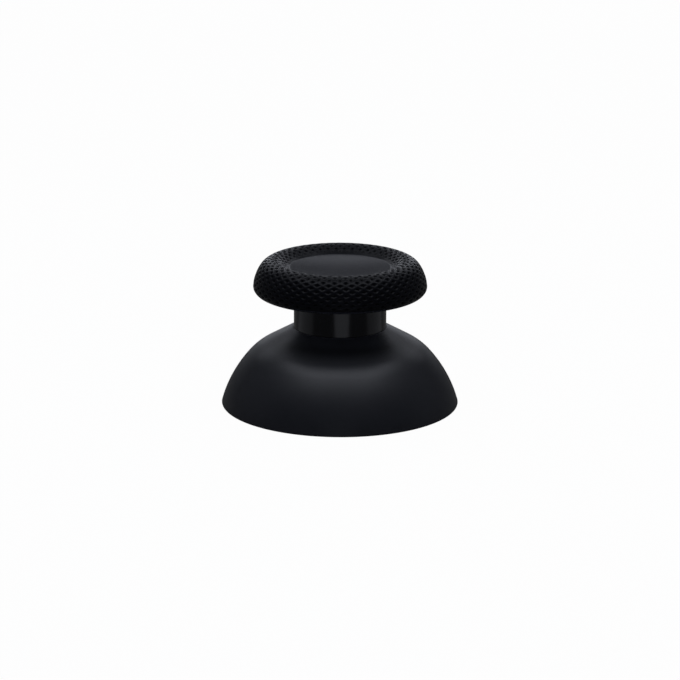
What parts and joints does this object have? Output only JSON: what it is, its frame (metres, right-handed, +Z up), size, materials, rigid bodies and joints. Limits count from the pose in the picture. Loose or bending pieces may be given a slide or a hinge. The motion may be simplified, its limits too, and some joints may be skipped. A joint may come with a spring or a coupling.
{
  "type": "thumbstick cap",
  "caption": "Thumbstick cap for a game controller: knurled mushroom head with a thumb dish, round neck, and hollow dome skirt with a shaft socket inside.",
  "frame": {"origin": "centre of the skirt's open end, on the plane that the cap stands on", "axes": "+Z up along the cap's axis, from the skirt to the head; the socket's flats face +Y and -Y"},
  "size_m": [0.025, 0.025, 0.0155],
  "materials": {
    "black_plastic": "satin black moulded plastic"
  },
  "bodies": {
    "root": {"thumbstick_cap": "black_plastic"}
  },
  "joints": []
}
